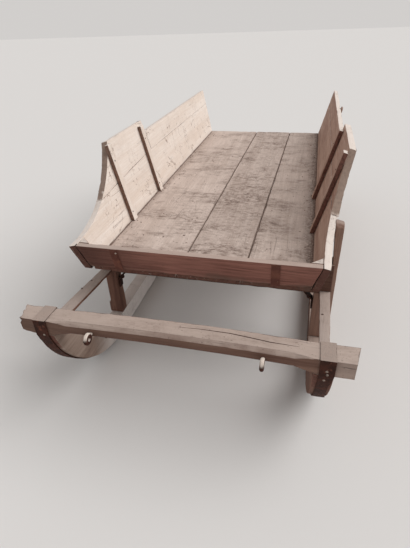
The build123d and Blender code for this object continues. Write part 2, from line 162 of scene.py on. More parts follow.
class Socket:
    """A node's output. Sums on it add Math nodes, so 1 - mask reads as it is written."""

    def __init__(self, finish, link):
        self.finish = finish
        self.link = link

    def __add__(self, other):
        return self.finish.maths("ADD", self, other)

    __radd__ = __add__

    def __sub__(self, other):
        return self.finish.maths("SUBTRACT", self, other)

    def __rsub__(self, other):
        return self.finish.maths("SUBTRACT", other, self)

    def __mul__(self, other):
        return self.finish.maths("MULTIPLY", self, other)

    __rmul__ = __mul__


class Finish:
    """The nodes of one material, or of the world."""

    def __init__(self, owner):
        owner.use_nodes = True
        self.owner = owner
        self.tree = owner.node_tree
        self.tree.nodes.clear()

    def node(self, kind, settings=None, sockets=None, output=0):
        """Adds a node of a type: settings first, then the values or links of its sockets."""
        node = self.tree.nodes.new(kind)
        for name, value in (settings or {}).items():
            setattr(node, name, value)
        for name, value in (sockets or {}).items():
            if isinstance(value, Socket):
                self.tree.links.new(value.link, node.inputs[name])
            else:
                node.inputs[name].default_value = value
        return Socket(self, node.outputs[output]) if len(node.outputs) else None

    def maths(self, operation, a, b):
        return self.node("ShaderNodeMath", {"operation": operation}, {0: a, 1: b})

    def magnitude(self, value):
        """The value without its sign."""
        return self.maths("ABSOLUTE", value, 0.0)

    def vector(self, operation, a, b):
        return self.node("ShaderNodeVectorMath", {"operation": operation}, {0: a, 1: b})

    def mix(self, factor, a, b):
        """Colour a where factor is 0, and b where it is 1."""
        a, b = ((*c, 1) if isinstance(c, tuple) else c for c in (a, b))
        sockets = {0: factor, 6: a, 7: b}
        return self.node("ShaderNodeMix", {"data_type": "RGBA"}, sockets, output=2)

    def step(self, value, low, high):
        """0 below low, 1 above high, and smooth between them."""
        sockets = {"Value": value, "From Min": low, "From Max": high}
        return self.node("ShaderNodeMapRange", {"interpolation_type": "SMOOTHSTEP"}, sockets)

    def noise(self, place, scale, detail=3.0, roughness=0.55, distortion=0.0):
        sockets = {
            "Vector": place,
            "Scale": scale,
            "Detail": detail,
            "Roughness": roughness,
            "Distortion": distortion,
        }
        return self.node("ShaderNodeTexNoise", {}, sockets)

    def place(self):
        """The place on the sleigh, in metres."""
        return self.node("ShaderNodeTexCoord", output="Object")

    def own_place(self):
        """The place, moved by an amount of each piece's own, so that no two share their grain."""
        piece = self.node("ShaderNodeObjectInfo", output="Random")
        sockets = {0: (7.1, 13.3, 5.7), "Scale": piece}
        shift = self.node("ShaderNodeVectorMath", {"operation": "SCALE"}, sockets)
        return self.vector("ADD", self.place(), shift)

    def axis(self, vector, name):
        return self.node("ShaderNodeSeparateXYZ", {}, {0: vector}, output=name)

    def facing_up(self):
        return self.axis(self.node("ShaderNodeNewGeometry", output="Normal"), "Z")

    def surface(self, tint, roughness, height, bump, metallic=0.0, specular=0.25):
        """The closing shader, with the height as bumps of bump metres."""
        sockets = {"Height": height, "Strength": 1.0, "Distance": bump}
        normal = self.node("ShaderNodeBump", {}, sockets)
        sockets = {
            "Base Color": tint,
            "Roughness": roughness,
            "Metallic": metallic,
            "Specular IOR Level": specular,
            "Normal": normal,
        }
        shader = self.node("ShaderNodeBsdfPrincipled", {}, sockets)
        self.node("ShaderNodeOutputMaterial", {}, {"Surface": shader})
        return self.owner


class Tones:
    """The colours of one kind of timber.

    pale and dark colour its grain, outer_pale and outer_dark the grain of the faces that look away
    from the middle. end shows on end grain, and brow on end grain that looks upwards.
    """

    def __init__(self, timber, kind, end="end_dark", top="dust", brow=None, outside=None):
        for part, name in (
            ("pale", f"{kind}_pale"),
            ("dark", f"{kind}_dark"),
            ("outer_pale", f"{outside or kind}_pale"),
            ("outer_dark", f"{outside or kind}_dark"),
            ("end", end),
            ("brow", brow or end),
            ("top", top),
            ("soil", "soil"),
            ("crumb", "crumb"),
            ("scratch", "scratch"),
        ):
            setattr(self, part, tuple(getattr(timber, name)))


def weathered_timber(
    name,
    grain,
    tones,
    dusty=0.5,
    dirt=0.3,
    cracks=0.3,
    specks=0.2,
    crumbs=0.0,
    drips=0.0,
    scratches=0.0,
    sawn=None,
    cut_at=0.88,
    stains=(),
    trodden=False,
    bare_above=None,
):
    """Old timber with its grain along one axis: streaks, cracks, stains, dust and specks.

    Faces across the axis sawn show end grain, and above a height they may stay bare of dust.
    A stain is (axis, from, to, strength, colour).
    """
    f = Finish(bpy.data.materials.new(name))
    squeeze = [1.0, 1.0, 1.0]
    squeeze["XYZ".index(grain)] = 0.045
    own = f.own_place()
    fibre = f.vector("MULTIPLY", own, tuple(squeeze))
    wide = f.noise(fibre, 16, 4, 0.6, 0.6)
    fine = f.noise(fibre, 170, 3, 0.6)
    patches = f.noise(own, 5.5, 5, 0.6)
    grit = f.noise(own, 85, 4, 0.7)
    streaks = f.step(wide * 0.5 + fine * 0.35 + patches * 0.15, 0.36, 0.64)
    tint = f.mix(streaks, tones.dark, tones.pale)
    if drips:
        runs = f.noise(f.vector("MULTIPLY", own, (1.0, 1.0, 0.07)), 34, 4, 0.65)
        tint = f.mix(f.step(runs, 0.50, 0.68) * drips, tint, tones.dark)
    # Cracks run with the grain, and come and go
    sockets = {"Vector": fibre, "Scale": 15.0, "Randomness": 1.0}
    net = f.node("ShaderNodeTexVoronoi", {"feature": "DISTANCE_TO_EDGE"}, sockets)
    crack = (1 - f.step(net, 0.004, 0.016)) * f.step(patches, 0.52, 0.62) * cracks
    tint = f.mix(crack, tint, tuple(c * 0.3 for c in tones.dark))
    for axis, start, end, strength, shown in stains:
        reach = f.step(f.axis(f.place(), axis) + 0.12 * (patches - 0.5), start, end)
        tint = f.mix(reach * (0.75 + 0.5 * wide) * strength, tint, tuple(shown))
    normal = f.node("ShaderNodeNewGeometry", output="Normal")
    if tones.outer_pale != tones.pale:
        away = f.axis(normal, "X") * f.maths("SIGN", f.axis(f.place(), "X"), 0.0)
        outer = f.mix(streaks, tones.outer_dark, tones.outer_pale)
        tint = f.mix(f.step(away, 0.1, 0.3), tint, outer)
    rise = f.axis(normal, "Z")
    across = f.magnitude(f.axis(normal, sawn or grain))
    cut = f.step(across + (grit - 0.5) * 0.06, cut_at, cut_at + 0.06)
    ends = f.mix(f.step(rise, -0.05, 0.15), tones.end, tones.brow)
    mottled = f.step(grit, 0.42, 0.62) * (0.4 if tones.brow == tones.end else 0.16)
    tint = f.mix(cut, tint, f.mix(mottled, ends, (0, 0, 0)))
    lying = f.step(rise + (patches - 0.5) * 0.8, 0.35, 0.92) * dusty
    if bare_above:
        high = f.axis(f.place(), "Z") + 0.008 * (grit - 0.5)
        lying = lying * (1 - cut * f.step(high, bare_above, bare_above + 0.008))
    tint = f.mix(lying * (0.72 + 0.28 * fine), tint, tones.top)
    # Dirt lies in smears across the boards, broken up by grit
    smear = f.noise(f.vector("MULTIPLY", own, (0.45, 1.0, 1.0)), 7.5, 8, 0.75)
    blotch = f.step(smear, 0.44, 0.68)
    if trodden:
        # More of it lies down the middle
        sideways = f.axis(f.place(), "X")
        off_middle = f.magnitude(sideways - 0.05)
        blotch = blotch + (1 - f.step(off_middle, 0.06, 0.2)) * 0.42
    broken = f.noise(f.vector("MULTIPLY", own, (0.5, 1.0, 1.0)), 60, 6, 0.8)
    grime_and_shade = blotch * (0.2 + 0.8 * f.step(broken, 0.40, 0.60)) * dirt
    if trodden:
        # And it is darker along the feet of the sides, most of all the right one: partly dirt
        # gathered there and partly painted shade cast by the sides
        drift = f.noise(f.place(), 11, 6, 0.7)
        outwards = f.magnitude(sideways) + 0.09 * (drift - 0.5) + 0.02 * (grit - 0.5)
        uneven = 0.5 + 0.5 * f.step(grit, 0.35, 0.6)
        heavier = 0.4 + 0.5 * f.step(sideways, -0.1, 0.1)
        foot = f.step(outwards, 0.335, 0.41) * uneven * heavier
        grime_and_shade = f.maths("MAXIMUM", grime_and_shade, foot)
    tint = f.mix(grime_and_shade, tint, tones.soil)
    spot = f.step(f.noise(own, 150, 2, 0.5), 0.66, 0.72) * specks
    tint = f.mix(spot, tint, tuple(c * 0.5 for c in tones.soil))
    if crumbs:
        chaff = f.step(f.noise(own, 118, 3, 0.6, 0.4), 0.64, 0.69) * crumbs
        tint = f.mix(chaff * f.step(patches, 0.40, 0.6), tint, tones.crumb)
    if scratches:
        wander = f.noise(f.vector("MULTIPLY", own, (1.0, 1.0, 0.6)), 6.5, 4, 0.55, 1.2)
        line = 1 - f.step(f.magnitude(wander - 0.5), 0.002, 0.007)
        here = f.step(broken * 0.4 + patches * 0.6, 0.47, 0.53)
        tint = f.mix(line * here * scratches, tint, tones.scratch)
    height = fine * 0.5 + wide * 0.3 + grit * 0.25 - crack * 1.6
    return f.surface(tint, 0.80 + 0.15 * lying, height, 0.003)


def rusted_iron(name, rust, scale, fresh, dust, dusty=0.5, from_rise=0.3):
    """Wrought iron under brown rust, with dark scale, fresh rust and dust on top."""
    f = Finish(bpy.data.materials.new(name))
    own = f.own_place()
    clouds = f.noise(own, 22, 6, 0.65)
    pits = f.noise(own, 260, 3, 0.6)
    tint = f.mix(f.step(clouds, 0.38, 0.62), scale, rust)
    tint = f.mix(f.step(f.noise(own, 48, 4, 0.6), 0.56, 0.68) * 0.45, tint, fresh)
    lying = f.step(f.facing_up() + (clouds - 0.5) * 0.8, from_rise, from_rise + 0.65) * dusty
    tint = f.mix(lying, tint, dust)
    tint = f.mix(f.step(pits, 0.6, 0.72) * 0.4, tint, tuple(c * 0.5 for c in scale))
    return f.surface(tint, 0.72 + 0.2 * lying, pits * 0.6 + clouds, 0.0025, 0.1, 0.15)


def packed_soil(name, soil, dust):
    """Dry dirt in seams and corners."""
    f = Finish(bpy.data.materials.new(name))
    lumps = f.noise(f.place(), 120, 5, 0.7)
    tint = f.mix(f.step(lumps, 0.35, 0.7), soil, tuple(0.5 * (a + b) for a, b in zip(soil, dust)))
    return f.surface(tint, 0.95, lumps, 0.004)


# Meshes


def add_piece(name, mesh, materials, replaced=()):
    """Makes a shown piece of a bmesh, which rides on the sleigh."""
    data = bpy.data.meshes.new(name)
    mesh.to_mesh(data)
    mesh.free()
    for material in materials:
        data.materials.append(material)
    piece = bpy.data.objects.new(name, data)
    bpy.context.scene.collection.objects.link(piece)
    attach(piece, BODY)
    if replaced:
        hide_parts(*replaced)
    return piece


def solid_of(node):
    """The clean flat-faced shape of a CAD node."""
    mesh = bmesh.new()
    mesh.from_mesh(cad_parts[node].data)
    bmesh.ops.remove_doubles(mesh, verts=mesh.verts, dist=1e-5)
    flat = math.radians(0.5)
    bmesh.ops.dissolve_limit(mesh, angle_limit=flat, verts=mesh.verts, edges=mesh.edges)
    return mesh


def round_edges(mesh, width):
    limit = math.radians(25)
    sharp = [e for e in mesh.edges if len(e.link_faces) == 2 and e.calc_face_angle(0) > limit]
    bmesh.ops.bevel(
        mesh, geom=sharp, offset=width, segments=2, profile=0.5, affect="EDGES", clamp_overlap=True
    )


def cut_grid(mesh, cells):
    """Cuts every face at even steps along X, Y and Z."""
    for axis, cell in enumerate(cells):
        if not cell:
            continue
        places = [v.co[axis] for v in mesh.verts]
        low, high = min(places), max(places)
        count = max(1, round((high - low) / cell))
        normal = [0, 0, 0]
        normal[axis] = 1
        for i in range(1, count):
            point = [0, 0, 0]
            point[axis] = low + (high - low) * i / count
            geometry = mesh.verts[:] + mesh.edges[:] + mesh.faces[:]
            bmesh.ops.bisect_plane(mesh, geom=geometry, plane_co=point, plane_no=normal, dist=1e-5)


def held(share):
    """A share, held between 0 and 1."""
    return min(1.0, max(0.0, share))


def beside(point, lines):
    """Whether a point is near one of the lines, each a pair of ends."""
    reach = 0.02
    for start, end in lines:
        share = intersect_point_line(point, start, end)[1]
        if (point - start.lerp(end, held(share))).length < reach:
            return True
    return False


def weather(mesh, chip, sway, seed, cracks=()):
    """Wears the edges back by chips and makes the faces uneven, never beyond the CAD faces."""
    lines = []
    for points, *_ in cracks:
        points = [Vector(p) for p in points]
        lines += list(zip(points, points[1:]))
    mesh.normal_update()
    limit = math.radians(12)
    offset = Vector((seed * 3.7, seed * 1.9, seed * 5.3))
    moves = []
    for vert in mesh.verts:
        edges = [e for e in vert.link_edges if len(e.link_faces) == 2]
        sharpest = max((e.calc_face_angle(0) for e in edges), default=0)
        point = vert.co + offset
        depth = sway * (0.5 + 0.5 * noise.noise(point * 7))
        if sharpest > limit and not beside(vert.co, lines):
            rough = noise.noise(point * 38) + 0.6 * noise.noise(point * 90)
            depth += chip * (0.12 + max(0.0, rough) ** 1.5)
        moves.append((vert, vert.normal * -depth))
    for vert, move in moves:
        vert.co += move


def shade(mesh):
    limit = math.radians(38)
    for face in mesh.faces:
        face.smooth = True
    for edge in mesh.edges:
        edge.smooth = len(edge.link_faces) == 2 and edge.calc_face_angle(0) < limit


def even_normals(piece):
    modifier = piece.modifiers.new("Even normals", "WEIGHTED_NORMAL")
    modifier.keep_sharp = True


def opened(mesh, cracks):
    """Opens cracks in a clean mesh. Each is (points on its face, way inwards, width, depth)."""
    above = 0.004
    cutter = bmesh.new()
    for points, inward, width, depth in cracks:
        points = [Vector(p) for p in points]
        inward = Vector(inward).normalized()
        rows = []
        for i, point in enumerate(points):
            before, after = points[max(0, i - 1)], points[min(len(points) - 1, i + 1)]
            across = (after - before).cross(inward).normalized()
            share = math.sin(math.pi * (i + 0.4) / (len(points) - 0.2))
            half = width / 2 * max(0.25, share)
            top = point - inward * above
            corners = (top - across * half, top + across * half, point + inward * depth * share)
            rows.append([cutter.verts.new(corner) for corner in corners])
        for low, high in zip(rows, rows[1:]):
            for i in range(3):
                j = (i + 1) % 3
                cutter.faces.new((low[i], low[j], high[j], high[i]))
        cutter.faces.new(reversed(rows[0]))
        cutter.faces.new(rows[-1])
    bmesh.ops.recalc_face_normals(cutter, faces=cutter.faces)
    things = []
    for part, name in ((mesh, "sound"), (cutter, "cracks")):
        data = bpy.data.meshes.new(name)
        part.to_mesh(data)
        part.free()
        things.append(bpy.data.objects.new(name, data))
        bpy.context.scene.collection.objects.link(things[-1])
    modifier = things[0].modifiers.new("Cracks", "BOOLEAN")
    modifier.operation = "DIFFERENCE"
    modifier.solver = "EXACT"
    modifier.object = things[1]
    graph = bpy.context.evaluated_depsgraph_get()
    result = bmesh.new()
    result.from_mesh(things[0].evaluated_get(graph).to_mesh())
    for thing in things:
        bpy.data.objects.remove(thing)
    if len(result.faces) < 6:
        raise RuntimeError("the cracks took the whole piece")
    return result


def worn_piece(node, material, slot, cells, edge, chip, sway=0.0006, reshape=None, cracks=()):
    """Stands a worn copy of a CAD node in its place. reshape may move a point of it."""
    mesh = solid_of(node)
    seed = sum(ord(letter) for letter in node) % 97
    round_edges(mesh, edge)
    if cracks:
        mesh = opened(mesh, cracks)
    cut_grid(mesh, cells)
    if reshape:
        for vert in mesh.verts:
            vert.co = reshape(vert.co)
    weather(mesh, chip, sway, seed, cracks)
    shade(mesh)
    piece = add_piece(f"worn_{node}", mesh, [material], [node])
    even_normals(piece)
    return piece


def ridge(mesh, points, width, height, seed):
    """A low uneven ridge of dirt along a line of points."""
    spacing = 0.012
    points = [Vector(p) for p in points]
    rows = []
    for start, end in zip(points, points[1:]):
        steps = max(1, round((end - start).length / spacing))
        along = (end - start).normalized()
        across = along.cross(Vector((0, 0, 1))).normalized()
        for i in range(steps + (end == points[-1])):
            place = start.lerp(end, i / steps)
            lump = 0.75 + 0.6 * noise.noise(place * 22 + Vector((seed, 0, 0)))
            half = width / 2 * lump
            row = []
            for share, rise in ((-1, -0.6), (-0.8, 0.3), (0, 1), (0.8, 0.3), (1, -0.6)):
                wobble = 0.0008 * noise.noise(place * 90 + Vector((share * 3, seed, 0)))
                up = Vector((0, 0, height * rise * lump + wobble))
                row.append(mesh.verts.new(place + across * half * share + up))
            rows.append(row)
    for low, high in zip(rows, rows[1:]):
        for i in range(len(low)):
            j = (i + 1) % len(low)
            mesh.faces.new((low[i], high[i], high[j], low[j]))
    mesh.faces.new(rows[0])
    mesh.faces.new(reversed(rows[-1]))


def tree_of(piece):
    data = piece.data
    return BVHTree.FromPolygons(
        [v.co.copy() for v in data.vertices], [tuple(p.vertices) for p in data.polygons]
    )


def facing(normal):
    """A turn that points Z along the normal."""
    return Vector(normal).to_track_quat("Z", "Y").to_matrix().to_4x4()


def add_head(mesh, point, normal, radius, height, seed):
    """A hammered round head: a low dome, slightly out of round."""
    sides = 12
    turn = Matrix.Translation(point) @ facing(normal)
    rings = ((1.0, -0.6), (1.0, 0.15), (0.86, 0.62), (0.5, 0.92))
    rows = []
    for share, rise in rings:
        row = []
        for i in range(sides):
            angle = math.tau * i / sides
            wobble = 1 + 0.09 * noise.noise(Vector((angle * 1.3, seed * 2.7, rise)))
            x = math.cos(angle) * radius * share * wobble
            y = math.sin(angle) * radius * share * wobble
            row.append(mesh.verts.new(turn @ Vector((x, y, height * rise))))
        rows.append(row)
    top = mesh.verts.new(turn @ Vector((0, 0, height)))
    for low, high in zip(rows, rows[1:]):
        for i in range(sides):
            j = (i + 1) % sides
            mesh.faces.new((low[i], low[j], high[j], high[i]))
    for i in range(sides):
        mesh.faces.new((rows[-1][i], rows[-1][(i + 1) % sides], top))
    mesh.faces.new(list(reversed(rows[0])))


def heads_on(name, pieces, places, radius, height, material):
    """Heads where a straight line from each place first meets one of the pieces."""
    trees = [tree_of(piece) for piece in pieces]
    mesh = bmesh.new()
    for number, (start, way) in enumerate(places):
        hits = [tree.ray_cast(Vector(start), Vector(way)) for tree in trees]
        hits = [hit for hit in hits if hit[0] is not None]
        if not hits:
            raise RuntimeError(f"{name}: nothing to nail at {start}")
        point, normal, _, _ = min(hits, key=lambda hit: hit[3])
        add_head(mesh, point, normal, radius, height, number)
    shade(mesh)
    return add_piece(name, mesh, [material])


# Pieces


class SleighOperator(bpy.types.Operator):
    bl_options = {"REGISTER"}

    @property
    def timber(self):
        return bpy.context.scene.sleigh_timber

    @property
    def iron(self):
        return bpy.context.scene.sleigh_iron

    def timber_finish(self, name, grain, kind, **amounts):
        """A timber material in one of the sleigh's colours, made once."""
        if name in bpy.data.materials:
            return bpy.data.materials[name]
        words = ("end", "top", "brow", "outside")
        parts = {word: amounts.pop(word) for word in words if word in amounts}
        return weathered_timber(name, grain, Tones(self.timber, kind, **parts), **amounts)

    def iron_finish(self, name, dusty=0.5, rust="rust", dark="scale", dust="dust", **amounts):
        if name in bpy.data.materials:
            return bpy.data.materials[name]
        i = self.iron
        tones = (getattr(i, rust), getattr(i, dark), i.bright_rust, getattr(self.timber, dust))
        return rusted_iron(name, *(tuple(tone) for tone in tones), dusty, **amounts)

    def board(self, node, material, slot, cells, chip=1.0, edge=1.0, **more):
        """A worn timber, with its chips and worn edges as shares of the usual ones."""
        t = self.timber
        return worn_piece(node, material, slot, cells, t.worn_edge * edge, t.chip * chip, **more)


class SLEIGH_OT_runners(SleighOperator):
    """Worn timber runners with swept noses"""

    bl_idname = "sleigh.runners"
    bl_label = "Runners"

    def execute(self, context):
        # A pale stain at the front of the left runner is painted light, and the right runner takes
        # the darker frame tones as painted shade on its inner face
        painted_light = [("Y", -0.97, -0.72, 1.0, self.timber.runner_bleached)]
        for (side, _), kind, stains in zip(SIDES, ("runner", "frame"), (painted_light, ())):
            finish = self.timber_finish(
                f"{side} runner timber",
                "Y",
                kind,
                outside="runner_out",
                dusty=0.8,
                dirt=0.3,
                stains=stains,
            )
            self.board(f"runner_{side}", finish, "undercarriage_timber", (0.024, 0.04, 0.03))
        return {"FINISHED"}


class SLEIGH_OT_shoes(SleighOperator):
    """Rusted iron under the runners, lapped over the beam"""

    bl_idname = "sleigh.shoes"
    bl_label = "Runner shoes"

    def worn_toe(self, point):
        """Narrows the right shoe where its outer edge has rusted away in front."""
        below, before, middle = 0.375, -1.02, 0.452
        down = held((below - point.z) / 0.07) * held((before - point.y) / 0.1)
        out = max(0.0, point.x - middle)
        ragged = 0.8 + 0.5 * noise.noise(point * 40)
        return point - Vector((0.42 * out * down * ragged, 0, 0))

    def execute(self, context):
        finish = self.iron_finish("shoe iron", 0.72)
        cells = (0.02, 0.025, 0.02)
        edge, chip, sway = self.iron.worn_edge, 0.0022, 0.001
        shoes = []
        for side, _ in SIDES:
            node = f"runner_shoe_{side}"
            toe = self.worn_toe if side == "right" else None
            shoes.append(worn_piece(node, finish, "iron", cells, edge, chip, sway, toe))
        nails = ((0.459, 0.390), (0.461, 0.377), (0.455, 0.350), (-0.452, 0.372))
        places = [((x, AHEAD, z), BACKWARDS) for x, z in nails]
        bare = self.iron_finish("bare iron", 0.6, rust="bare")
        heads_on("shoe_nails", shoes, places, self.iron.nail, 0.002, bare)
        return {"FINISHED"}


class SLEIGH_OT_beam(SleighOperator):
    """Cross beam on the noses of the runners"""

    bl_idname = "sleigh.beam"
    bl_label = "Front beam"

    def rotten_end(self, point):
        """Lifts the underside of the left end, where the wood has crumbled away, and pits it."""
        sound_from, lift, pit = -0.485, 0.017, 0.010
        low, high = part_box("front_beam")
        out = held((sound_from - point.x) / 0.06)
        under = held((high.z - point.z) / 0.07)
        ragged = 0.7 + 0.6 * noise.noise(point * 45)
        lifted = point + Vector((0, 0, lift * out * under * ragged))
        rough = 0.25 + noise.noise(point * 55) + 0.5 * noise.noise(point * 110)
        heart = Vector((low.x + 0.06, (low.y + high.y) / 2, (low.z + high.z) / 2))
        return lifted + (heart - lifted).normalized() * pit * out * max(0.0, rough)

    def execute(self, context):
        finish = self.timber_finish(
            "beam timber",
            "X",
            "beam",
            end="beam_end",
            dusty=0.95,
            dirt=0.4,
            specks=0.5,
            stains=[
                ("X", 0.42, 0.5, 0.55, self.timber.dust),
                ("X", -0.1, -0.48, 0.5, self.timber.soil),
            ],
        )
        # The long crack follows the bowed top, and the short one runs in from the right end
        crown, bow, half = 0.437, 0.009, 0.421
        course = (
            (0.005, -1.1206),
            (0.075, -1.1166),
            (0.169, -1.1166),
            (0.231, -1.1226),
            (0.292, -1.1286),
            (0.336, -1.1286),
            (0.379, -1.1286),
        )
        long_crack = [(x, y, crown - bow * (x / half) ** 2) for x, y in course]
        end_crack = [(0.493 + 0.009 * i, -1.1686, 0.412 - 0.0006 * i) for i in range(6)]
        cracks = [
            (long_crack, (0, 0.15, -1), 0.0042, 0.016),
            (end_crack, BACKWARDS, 0.004, 0.02),
        ]
        beam = self.board(
            "front_beam",
            finish,
            "undercarriage_timber",
            (0.014, 0.012, 0.012),
            0.7,
            reshape=self.rotten_end,
            cracks=cracks,
        )
        places = [((-0.23, AHEAD, 0.388), BACKWARDS)]
        iron = self.iron_finish("nail iron", 0.3)
        heads_on("beam_nail", [beam], places, self.iron.nail, 0.002, iron)
        return {"FINISHED"}


class SLEIGH_OT_eyes(SleighOperator):
    """Forged draw eyes through the beam"""

    bl_idname = "sleigh.eyes"
    bl_label = "Draw eyes"

    def execute(self, context):
        finish = self.iron_finish("eye iron", 0.9, dust="crumb", from_rise=0.0)
        for side, _ in SIDES:
            worn_piece(f"draw_eye_{side}", finish, "iron", (0, 0, 0), 0.0015, 0.0)
        return {"FINISHED"}


class SLEIGH_OT_undercarriage(SleighOperator):
    """Rails, posts, bolsters and stakes"""

    bl_idname = "sleigh.undercarriage"
    bl_label = "Undercarriage"

    def draw_in(self, point):
        """Brings the front ends of the rails in over the noses, and widens the left one inwards."""
        straight_to, climb, drawn = -0.69, 0.42, 0.014
        ahead = held((straight_to - point.y) / climb)
        low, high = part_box("rail_left" if point.x < 0 else "rail_right")
        outer, inner = (low.x, high.x) if point.x < 0 else (high.x, low.x)
        inward = (point.x - outer) / (inner - outer)
        if point.x < 0:
            return point + Vector(((drawn + 0.004 * inward) * ahead + 0.006 * inward, 0, 0))
        return point - Vector(((drawn - 0.009 * inward) * ahead, 0, 0))

    def lean_in(self, point):
        """Widens the short stake inwards above the bolster, and rounds its outer top corner."""
        middle, half, bolster_top = 0.480, 0.034, 0.47
        corner, reach, widening = 0.032, 0.07, 0.010
        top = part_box("stake_front_right")[1].z
        if point.x > middle:
            out = min(1.0, (point.x - middle) / half) ** 1.6
            return point - Vector((0, 0, corner * out * max(0.0, 1 - (top - point.z) / reach)))
        rise = held((point.z - bolster_top) / 0.13)
        return point - Vector((widening * rise, 0, 0))

    def slim_top(self, point):
        """Thins the tops of the rear stakes, and takes the left one down behind its board."""
        # The slope of the inner face, and a point that it runs through
        lean, top_x, top_z = 0.277, 0.5098, 0.7678
        start, shortening = 0.62, 0.036
        side = math.copysign(1, point.x)
        high = held((point.z - start) / 0.14)
        inner_face = top_x - lean * (top_z - point.z)
        thinner = 0.55 * high * max(0.0, abs(point.x) - inner_face)
        point = point - Vector((side * thinner, 0, 0))
        return point - Vector((side * lean, 0, 1)) * (shortening * high if side < 0 else 0)

    def execute(self, context):
        reshapes = {"front": self.lean_in, "rear": self.slim_top}
        dusted = {"top": "rail_top", "dusty": 0.95, "dirt": 0.2}
        along = self.timber_finish("rail timber", "Y", "frame", **dusted)
        # The bolsters are darkened all over with the iron's scale colour, as painted shade under
        # the box
        painted_shade_stain = {"stains": [("Z", 0.52, 0.50, 0.55, self.iron.scale)]}
        across = self.timber_finish("bolster timber", "X", "frame", dusty=0.6, dirt=0.5, **painted_shade_stain)
        faded = {"stains": [("X", 0.2, 0.4, 0.35, self.timber.stake_pale)]}
        upright = self.timber_finish("post timber", "Z", "frame", dusty=0.5, dirt=0.3, **faded)
        split_wood = self.timber_finish("stake timber", "Z", "stake", dusty=0.6, dirt=0.25)
        slot = "undercarriage_timber"
        for name in FRAMES:
            self.board(f"bolster_{name}", across, slot, (0.04, 0.035, 0.035))
            for side, _ in SIDES:
                self.board(f"post_{name}_{side}", upright, slot, (0.023, 0.025, 0.04))
                stake = f"stake_{name}_{side}"
                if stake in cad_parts:
                    cells = (0.022, 0.016, 0.04)
                    self.board(stake, split_wood, "side_boards", cells, reshape=reshapes.get(name))
        rails = [
            self.board(f"rail_{side}", along, slot, (0.02, 0.04, 0.018), reshape=self.draw_in)
            for side, _ in SIDES
        ]
        above = 0.42
        nails = ((-0.47, -0.807), (-0.473, -0.88), (0.45, -0.867))
        places = [((x, y, above), DOWN) for x, y in nails]
        iron = self.iron_finish("nail iron", 0.3)
        heads_on("rail_nails", rails, places, self.iron.nail, 0.003, iron)
        return {"FINISHED"}


class SLEIGH_OT_stays(SleighOperator):
    """Bent iron stays between the posts and the bolsters"""

    bl_idname = "sleigh.stays"
    bl_label = "Stays"

    def execute(self, context):
        finish = self.iron_finish("stay iron", 0.15, rust="scale")
        edge, chip, sway = 0.001, 0.0004, 0.0002
        stays = [
            worn_piece(f"stays_{side}", finish, "iron", (0.02, 0, 0.02), edge, chip, sway)
            for side, _ in SIDES
        ]
        knob_height = 0.283
        places = []
        for name in FRAMES:
            low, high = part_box(f"post_{name}_left")
            for _, sign in SIDES:
                places.append(((0, (low.y + high.y) / 2, knob_height), (sign, 0, 0)))
        heads_on("stay_knobs", stays, places, 0.010, 0.011, finish)
        return {"FINISHED"}


class SLEIGH_OT_floor(SleighOperator):
    """Long floor planks and their nails"""

    bl_idname = "sleigh.floor"
    bl_label = "Floor"

    def scatter(self, mesh):
        """Crumbs of dirt, most of them along the feet of the sides."""
        low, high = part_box("floor_plank_middle")
        foot, sunk, end = 0.392, 0.4795, 0.02
        chance = random.Random(7)
        for number in range(170):
            gather = chance.random() ** 3 * 0.3 + 0.008
            side = -1 if number % 5 < 3 else 1
            x = side * (foot - gather)
            y = chance.uniform(low.y + end, high.y - end)
            size = chance.uniform(0.0012, 0.0034)
            turn = Matrix.Rotation(chance.uniform(0, math.tau), 4, "Z")
            shape = Matrix.Diagonal((chance.uniform(1, 2.4), 1.0, 0.6, 1.0))
            place = Matrix.Translation((x, y, sunk)) @ turn @ shape
            made = bmesh.ops.create_icosphere(mesh, subdivisions=1, radius=size, matrix=place)
            for vert in made["verts"]:
                vert.co += Vector((0, 0, 0.4)) * size * noise.noise(vert.co * 400)

    def execute(self, context):
        finish = self.timber_finish(
            "floor timber",
            "Y",
            "floor",
            dusty=0.25,
            dirt=0.8,
            cracks=0.25,
            specks=0.85,
            crumbs=0.9,
            trodden=True,
        )
        cells = (0.02, 0.045, 0.014)
        planks = [
            self.board(f"floor_plank_{name}", finish, "floor_planks", cells, sway=0.002)
            for name in ("left", "middle", "right")
        ]
        soil = packed_soil("packed soil", tuple(self.timber.soil), tuple(self.timber.dust))
        mesh = bmesh.new()
        front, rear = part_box("floor_plank_middle")[0].y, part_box("floor_plank_middle")[1].y
        # Dirt in the two seams, along the feet of the sides, and behind the front board
        in_seam, on_floor = 0.472, 0.4805
        for number, (x0, x1) in enumerate(((-0.073, -0.050), (0.163, 0.197))):
            ends = ((x0, front + 0.004, in_seam), (x1, rear - 0.004, in_seam))
            ridge(mesh, ends, 0.0075, 0.002, number * 5)
        for (_, sign), width, height in zip(SIDES, (0.009, 0.015), (0.0025, 0.004)):
            x = sign * 0.3975
            ends = ((x, front + 0.03, on_floor), (x, rear - 0.03, on_floor))
            ridge(mesh, ends, width, height, sign * 7)
        ends = ((-0.37, -0.8725, on_floor), (0.37, -0.8725, on_floor))
        ridge(mesh, ends, 0.012, 0.003, 11)
        self.scatter(mesh)
        shade(mesh)
        add_piece("floor_dirt", mesh, [soil])
        places = []
        for name in FRAMES:
            low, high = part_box(f"bolster_{name}")
            y = (low.y + high.y) / 2
            for x in (-0.35, -0.1, -0.02, 0.15, 0.225, 0.36):
                near = Vector((x, y, 0)) * 9
                at = (x + 0.02 * noise.noise(near), y + 0.03 * noise.noise(near * 3), 0.6)
                places.append((at, DOWN))
        iron = self.iron_finish("trodden nail iron", 0.7)
        heads_on("floor_nails", planks, places, self.iron.nail, 0.0012, iron)
        return {"FINISHED"}


